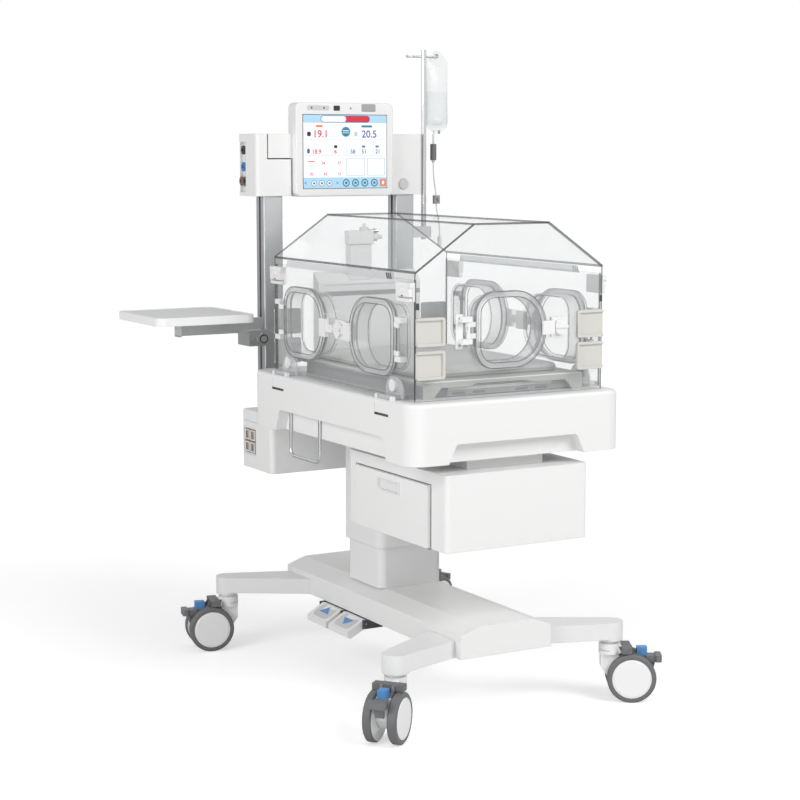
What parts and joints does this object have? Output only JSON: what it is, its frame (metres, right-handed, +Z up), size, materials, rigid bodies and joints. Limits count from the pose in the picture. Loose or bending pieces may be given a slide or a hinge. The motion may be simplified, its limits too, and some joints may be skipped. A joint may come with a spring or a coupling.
{
  "type": "infant incubator",
  "caption": "Mobile infant incubator with a clear hood, drop-down doors with hand ports, a lifting column on braked casters, a tilting display, a side shelf and an infusion pole.",
  "frame": {"origin": "on the floor under the middle of the whole footprint", "axes": "+Z up, +Y towards the display and uprights, -X the side with the drawer, shelf and foot pedals"},
  "size_m": [1.0449, 1.1447, 1.677],
  "materials": {
    "white_housing": "satin",
    "white_steel": "satin",
    "column_metal": "satin powder coat",
    "clear_acrylic": "clear polished",
    "white_fitting": "gloss",
    "rail_aluminium": "anodised",
    "bright_steel": "polished",
    "caster_tyre": "matt",
    "dark_plastic": "satin",
    "grey_plastic": "satin",
    "beige_grommet": "matt",
    "mattress_cover": "smooth coated fabric",
    "tray_plastic": "satin",
    "display_glass": "gloss, lit",
    "bag_film": "clear film",
    "clear_tube": "clear"
  },
  "bodies": {
    "base": {"base_plate": "white_housing", "caster_legs": "white_steel", "column_inner": "column_metal", "pedal_bracket": "dark_plastic"},
    "bed": {"column_outer": "column_metal", "support_frame": "white_steel", "tray_shell": "white_housing", "drawer_cabinet": "white_housing", "controller_box": "white_housing", "uprights": "rail_aluminium", "crossbar_housing": "white_housing", "hood_canopy": "clear_acrylic", "hood_front_panel": "clear_acrylic", "end_port_frame": "white_fitting", "tubing_grommets": "beige_grommet", "mattress_tray": "tray_plastic", "mattress": "mattress_cover", "rear_air_duct": "white_housing", "sensor_post": "white_housing", "bail_handle": "bright_steel", "iv_bracket": "grey_plastic"},
    "caster_front_left": {"caster_front_left_housing": "white_fitting"},
    "wheels_front_left": {"caster_front_left_wheels": "caster_tyre"},
    "brake_front_left": {"caster_front_left_pedal": "dark_plastic"},
    "caster_front_right": {"caster_front_right_housing": "white_fitting"},
    "wheels_front_right": {"caster_front_right_wheels": "caster_tyre"},
    "brake_front_right": {"caster_front_right_pedal": "dark_plastic"},
    "caster_rear_left": {"caster_rear_left_housing": "white_fitting"},
    "wheels_rear_left": {"caster_rear_left_wheels": "caster_tyre"},
    "brake_rear_left": {"caster_rear_left_pedal": "dark_plastic"},
    "caster_rear_right": {"caster_rear_right_housing": "white_fitting"},
    "wheels_rear_right": {"caster_rear_right_wheels": "caster_tyre"},
    "brake_rear_right": {"caster_rear_right_pedal": "dark_plastic"},
    "foot_raise": {"pedal_raise": "dark_plastic"},
    "foot_lower": {"pedal_lower": "dark_plastic"},
    "drawer": {"drawer": "white_housing"},
    "display": {"display_unit": "white_housing", "display_glass": "display_glass"},
    "button": {"power_button": "grey_plastic"},
    "door_left": {"door_left": "clear_acrylic", "door_fittings_left": "white_fitting"},
    "catches_left": {"door_latches_left": "white_fitting"},
    "port_latch_left": {"port_latch_left": "white_fitting"},
    "port_door_left_rear": {"port_door_left_rear": "clear_acrylic"},
    "port_door_left_front": {"port_door_left_front": "clear_acrylic"},
    "door_right": {"door_right": "clear_acrylic", "door_fittings_right": "white_fitting"},
    "catches_right": {"door_latches_right": "white_fitting"},
    "port_latch_right": {"port_latch_right": "white_fitting"},
    "port_door_right_rear": {"port_door_right_rear": "clear_acrylic"},
    "port_door_right_front": {"port_door_right_front": "clear_acrylic"},
    "port_door_front_end": {"port_door_front_end": "clear_acrylic"},
    "port_latch_front": {"port_latch_front": "white_fitting"},
    "shelf": {"shelf_top": "grey_plastic", "shelf_arm": "white_housing"},
    "shelf_knob": {"shelf_knob": "white_housing"},
    "infusion": {"iv_pole": "bright_steel", "infusion_bag": "bag_film", "drip_set": "clear_tube", "infusion_line": "clear_tube"}
  },
  "joints": [
    {"name": "bed_lift", "type": "slide", "parent": "base", "child": "bed", "axis": [0, 0, 1], "range_m": [-0.1, 0.12]},
    {"name": "swivel_front_left", "type": "hinge", "parent": "base", "child": "caster_front_left", "pos_m": [-0.2358, -0.467, 0.15], "axis": [0, 0, 1], "continuous": true},
    {"name": "roll_front_left", "type": "hinge", "parent": "caster_front_left", "child": "wheels_front_left", "pos_m": [-0.27747, -0.50197, 0.0625], "axis": [0.6428, -0.766, 0], "continuous": true},
    {"name": "brake_front_left", "type": "hinge", "parent": "caster_front_left", "child": "brake_front_left", "pos_m": [-0.28483, -0.50814, 0.109], "axis": [0.6428, -0.766, 0], "range_deg": [-10, 10]},
    {"name": "swivel_front_right", "type": "hinge", "parent": "base", "child": "caster_front_right", "pos_m": [0.3948, -0.467, 0.15], "axis": [0, 0, 1], "continuous": true},
    {"name": "roll_front_right", "type": "hinge", "parent": "caster_front_right", "child": "wheels_front_right", "pos_m": [0.44143, -0.49502, 0.0625], "axis": [0.515, 0.8572, 0], "continuous": true},
    {"name": "brake_front_right", "type": "hinge", "parent": "caster_front_right", "child": "brake_front_right", "pos_m": [0.44966, -0.49996, 0.109], "axis": [0.515, 0.8572, 0], "range_deg": [-10, 10]},
    {"name": "swivel_rear_left", "type": "hinge", "parent": "base", "child": "caster_rear_left", "pos_m": [-0.2358, 0.4861, 0.15], "axis": [0, 0, 1], "continuous": true},
    {"name": "roll_rear_left", "type": "hinge", "parent": "caster_rear_left", "child": "wheels_rear_left", "pos_m": [-0.28881, 0.49834, 0.0625], "axis": [-0.225, -0.9744, 0], "continuous": true},
    {"name": "brake_rear_left", "type": "hinge", "parent": "caster_rear_left", "child": "brake_rear_left", "pos_m": [-0.29816, 0.5005, 0.109], "axis": [-0.225, -0.9744, 0], "range_deg": [-10, 10]},
    {"name": "swivel_rear_right", "type": "hinge", "parent": "base", "child": "caster_rear_right", "pos_m": [0.3948, 0.4861, 0.15], "axis": [0, 0, 1], "continuous": true},
    {"name": "roll_rear_right", "type": "hinge", "parent": "caster_rear_right", "child": "wheels_rear_right", "pos_m": [0.4441, 0.50909, 0.0625], "axis": [-0.4226, 0.9063, 0], "continuous": true},
    {"name": "brake_rear_right", "type": "hinge", "parent": "caster_rear_right", "child": "brake_rear_right", "pos_m": [0.4528, 0.51315, 0.109], "axis": [-0.4226, 0.9063, 0], "range_deg": [-10, 10]},
    {"name": "foot_pedal_raise", "type": "hinge", "parent": "base", "child": "foot_raise", "pos_m": [-0.0605, 0.1735, 0.15], "axis": [0, 1, 0], "range_deg": [-8, 8], "stiffness_Nm_per_rad": 8},
    {"name": "foot_pedal_lower", "type": "hinge", "parent": "base", "child": "foot_lower", "pos_m": [-0.0605, 0.0635, 0.15], "axis": [0, 1, 0], "range_deg": [-8, 8], "stiffness_Nm_per_rad": 8},
    {"name": "drawer_slide", "type": "slide", "parent": "bed", "child": "drawer", "axis": [1, 0, 0], "range_m": [-0.3, 0]},
    {"name": "display_tilt", "type": "hinge", "parent": "bed", "child": "display", "pos_m": [0.0795, 0.3995, 1.406], "axis": [-1, 0, 0], "range_deg": [-5, 20]},
    {"name": "power_press", "type": "slide", "parent": "bed", "child": "button", "axis": [0, 1, 0], "range_m": [0, 0.002], "stiffness_N_per_m": 800},
    {"name": "door_left_drop", "type": "hinge", "parent": "bed", "child": "door_left", "pos_m": [-0.2185, -0.1065, 0.812], "axis": [0, -1, 0], "range_deg": [0, 180]},
    {"name": "door_catches_left", "type": "hinge", "parent": "door_left", "child": "catches_left", "pos_m": [-0.1988, -0.1065, 1.082], "axis": [0, 1, 0], "range_deg": [0, 25], "stiffness_Nm_per_rad": 0.5},
    {"name": "port_latch_left_turn", "type": "hinge", "parent": "door_left", "child": "port_latch_left", "pos_m": [-0.2005, -0.1145, 0.949], "axis": [1, 0, 0], "range_deg": [-30, 30]},
    {"name": "port_door_left_rear_swing", "type": "hinge", "parent": "door_left", "child": "port_door_left_rear", "pos_m": [-0.2005, 0.2055, 0.949], "axis": [0, 0, 1], "range_deg": [-100, 0]},
    {"name": "port_door_left_front_swing", "type": "hinge", "parent": "door_left", "child": "port_door_left_front", "pos_m": [-0.2005, -0.4185, 0.949], "axis": [0, 0, -1], "range_deg": [-100, 0]},
    {"name": "door_right_drop", "type": "hinge", "parent": "bed", "child": "door_right", "pos_m": [0.3775, -0.1065, 0.812], "axis": [0, 1, 0], "range_deg": [0, 180]},
    {"name": "door_catches_right", "type": "hinge", "parent": "door_right", "child": "catches_right", "pos_m": [0.3578, -0.1065, 1.082], "axis": [0, -1, 0], "range_deg": [0, 25], "stiffness_Nm_per_rad": 0.5},
    {"name": "port_latch_right_turn", "type": "hinge", "parent": "door_right", "child": "port_latch_right", "pos_m": [0.3595, -0.1145, 0.949], "axis": [1, 0, 0], "range_deg": [-30, 30]},
    {"name": "port_door_right_rear_swing", "type": "hinge", "parent": "door_right", "child": "port_door_right_rear", "pos_m": [0.3595, 0.2055, 0.949], "axis": [0, 0, -1], "range_deg": [-100, 0]},
    {"name": "port_door_right_front_swing", "type": "hinge", "parent": "door_right", "child": "port_door_right_front", "pos_m": [0.3595, -0.4185, 0.949], "axis": [0, 0, 1], "range_deg": [-100, 0]},
    {"name": "port_door_front_end_swing", "type": "hinge", "parent": "bed", "child": "port_door_front_end", "pos_m": [-0.0485, -0.4915, 0.968], "axis": [0, 0, 1], "range_deg": [-100, 0]},
    {"name": "port_latch_front_turn", "type": "hinge", "parent": "bed", "child": "port_latch_front", "pos_m": [0.2155, -0.4915, 0.968], "axis": [0, 1, 0], "range_deg": [-30, 30]},
    {"name": "shelf_height", "type": "slide", "parent": "bed", "child": "shelf", "axis": [0, 0, 1], "range_m": [-0.15, 0.28]},
    {"name": "shelf_knob_turn", "type": "hinge", "parent": "shelf", "child": "shelf_knob", "pos_m": [-0.1745, 0.3735, 0.883], "axis": [0, -1, 0], "range_deg": [-180, 180]},
    {"name": "pole_height", "type": "slide", "parent": "bed", "child": "infusion", "axis": [0, 0, 1], "range_m": [-0.2, 0]}
  ]
}
